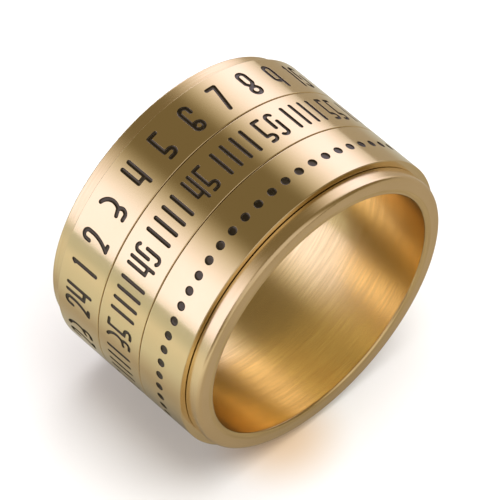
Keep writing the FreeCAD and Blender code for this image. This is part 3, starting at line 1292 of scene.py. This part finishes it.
@dataclass
class ScaleBand(Band):
    """Band numbered in fives, with ticks between the numerals."""

    body: str = "scale_band"
    font: DigitFont = DigitFont(0.77, 2.27, 0.25, 0.26)
    last: int = 55
    step: int = 5
    anchor: tuple[int, float] = (45, -20.3)
    ticks: int = 4
    tick_pitch: float = 4.27
    tick_length: float = 2.2
    tick_width: float = 0.28

    def layout(self) -> dict[str, list[Mark]]:
        """One enamel node for each numeral and one for all ticks."""
        values = range(0, self.last + 1, self.step)
        angles = self.even_gaps(values, self.font, self.tick_pitch * (self.ticks - 1), self.anchor)
        fills = self.numerals("scale", self.font, angles)
        half = (self.tick_length - self.tick_width) / 2
        bar = Glyph.drawn([np.array([[0, -half], [0, half]])], self.tick_width)
        fills["scale_ticks"] = []
        for value in values:
            following = value + self.step if value < self.last else 0
            here = angles[value] + self.degrees(self.font.width(value)) / 2
            there = angles[following] - self.degrees(self.font.width(following)) / 2
            middle = (here + there + (360 if following == 0 else 0)) / 2
            for k in range(self.ticks):
                angle = middle + (k - (self.ticks - 1) / 2) * self.tick_pitch
                fills["scale_ticks"].append(Mark(bar, angle, self.middle))
        return fills


@dataclass
class DotBand(Band):
    """Band with a row of evenly spaced dots."""

    body: str = "dot_band"
    count: int = 60
    dot_radius: float = 0.31
    anchor: float = -1.4

    def layout(self) -> dict[str, list[Mark]]:
        """One enamel node for all the dots."""
        dot = Glyph.drawn([np.array([[0.0, 0.0]])], 2 * self.dot_radius)
        return {"counting_dots": [
            Mark(dot, self.anchor + 360 / self.count * k, self.middle) for k in range(self.count)]}


# --- Studio ------------------------------------------------------------------------------

@dataclass(frozen=True)
class Panel:
    """Soft panel that faces the ring and is dimmer and warmer at its left and right sides."""

    name: str
    around: float                # degrees about the ring's axis, from straight up towards +X
    behind: float                # degrees towards +Y
    size: Point                  # across the ring's turning direction, and along it
    strength: float              # radiance in its middle
    tint: tuple[float, float, float]
    fades: tuple[Point, Point] = ((0.0, 0.3), (0.0, 0.3))   # shares of its breadth, from each side
    distance: float = 300.0
    in_metal: bool = True        # whether polished metal mirrors it
    on_matt: bool = True         # whether it lights matt surfaces

    EDGE_TINT = (1.0, 0.92, 0.76, 1)

    def hang(self) -> None:
        """Hangs it."""
        light = bpy.data.lights.new(self.name, "AREA")
        light.shape = "RECTANGLE"
        light.size, light.size_y = self.size[0] * MM, self.size[1] * MM
        light.energy = math.pi * light.size * light.size_y
        light.use_nodes = True
        self.shine(NodeTree(light.node_tree), light.node_tree.nodes["Emission"])
        a, b = math.radians(self.around), math.radians(self.behind)
        toward = Vector((math.cos(b) * math.sin(a), math.sin(b), math.cos(b) * math.cos(a)))
        across = Vector((math.cos(a), 0, -math.sin(a)))
        turn = Matrix((across, toward.cross(across), toward)).transposed().to_4x4()
        lamp = bpy.data.objects.new(self.name, light)
        lamp.matrix_world = Matrix.Translation(toward * self.distance * MM) @ turn
        lamp.visible_camera = False
        lamp.visible_glossy = self.in_metal
        lamp.visible_diffuse = self.on_matt
        bpy.context.scene.collection.objects.link(lamp)

    def shine(self, nodes: NodeTree, emission: bpy.types.Node) -> None:
        """Sets how its colour and strength change across it.

        Args:
            nodes: the light's nodes.
            emission: its shader.
        """
        spot = nodes.add("ShaderNodeNewGeometry").outputs["Parametric"]
        left = nodes.split(spot)[0]
        level = self.strength
        for share, (dark, full) in zip((left, nodes.math("SUBTRACT", 1.0, left)), self.fades):
            side = nodes.ramp(share, dark, full, interpolation_type="SMOOTHSTEP")
            level = nodes.math("MULTIPLY", side, level)
        share = nodes.math("DIVIDE", level, self.strength)
        nodes.feed(emission.inputs["Color"], nodes.blend(share, self.EDGE_TINT, (*self.tint, 1)))
        nodes.feed(emission.inputs["Strength"], level)


SIDE_PANEL = {"behind": 27, "size": (503, 420)}
PANELS = (
    Panel("left_panel", -62, **SIDE_PANEL, strength=1.10, tint=(1.0, 1.0, 1.48),
          fades=((0.0, 0.30), (0.05, 0.5))),
    Panel("right_panel", 63, **SIDE_PANEL, strength=1.14, tint=(1.0, 0.98, 1.46),
          fades=((0.03, 0.5), (0.0, 0.45))),
    Panel("key_light", 5, -8, (440, 440), 7.2, (0.98, 1.0, 1.03), distance=420, in_metal=False),
    Panel("front_card", -25, -52, (640, 480), 0.42, (1.0, 0.97, 1.1), on_matt=False),
)


@dataclass
class Studio:
    """Pale floor, soft panels and a long-lens camera."""

    floor: float = -11.35        # height of the floor
    floor_half: float = 900.0
    azimuth: float = -43.29      # where the camera stands, 0 being straight in front
    elevation: float = 52.32
    aim: tuple[float, float, float] = (-1.06, -1.38, 2.60)
    distance: float = 310.9
    lens: float = 345.6
    sensor: float = 36.0
    clip: Point = (0.01, 10.0)   # in metres
    air: Colour = (0.19, 0.148, 0.084, 1)
    backdrop: Colour = (0.95, 0.95, 0.95, 1)

    def build(self) -> None:
        """Makes everything that isn't the ring."""
        self.lay_floor()
        for panel in PANELS:
            panel.hang()
        self.place_camera()
        self.fill_air()

    def fill_air(self) -> None:
        """Sets the light that comes from all round and the backdrop that the eye sees."""
        world = bpy.data.worlds.new("studio_air")
        world.use_nodes = True
        nodes = NodeTree(world.node_tree)
        to_eye = nodes.add("ShaderNodeLightPath").outputs["Is Camera Ray"]
        shade = world.node_tree.nodes["Background"]
        nodes.feed(shade.inputs["Color"], nodes.blend(to_eye, self.air, self.backdrop))
        nodes.feed(shade.inputs["Strength"], 1.0)
        bpy.context.scene.world = world
        bpy.context.scene.view_settings.view_transform = "Standard"

    def lay_floor(self) -> None:
        """Lays the paper under the ring."""
        mesh = bpy.data.meshes.new("studio_floor")
        half, z = self.floor_half * MM, self.floor * MM
        mesh.from_pydata([(-half, -half, z), (half, -half, z), (half, half, z), (-half, half, z)],
                         [], [(0, 1, 2, 3)])
        mesh.materials.append(StudioPaper("studio_paper").material())
        floor = bpy.data.objects.new("studio_floor", mesh)
        bpy.context.scene.collection.objects.link(floor)

    def place_camera(self) -> None:
        """Points the camera at the ring."""
        az, el = math.radians(self.azimuth), math.radians(self.elevation)
        back = Vector((math.sin(az) * math.cos(el), -math.cos(az) * math.cos(el), math.sin(el)))
        data = bpy.data.cameras.new("camera")
        data.lens = self.lens
        data.sensor_width = self.sensor
        data.clip_start, data.clip_end = self.clip
        camera = bpy.data.objects.new("camera", data)
        camera.location = (Vector(self.aim) + back * self.distance) * MM
        camera.rotation_euler = back.to_track_quat("Z", "Y").to_euler()
        bpy.context.scene.collection.objects.link(camera)
        bpy.context.scene.camera = camera


def main() -> None:
    """Builds the ring and its studio, and reports each piece."""
    logging.basicConfig(level=logging.INFO, format="%(name)s: %(message)s")
    Studio().build()
    pieces = [Sleeve().build(), Collar().build()]
    for band in (CountBand(), ScaleBand(), DotBand()):
        pieces.extend(band.build())
    for piece in pieces:
        log.info("%s: %d faces", piece.name, len(piece.data.polygons))


if __name__ == "__main__":
    main()
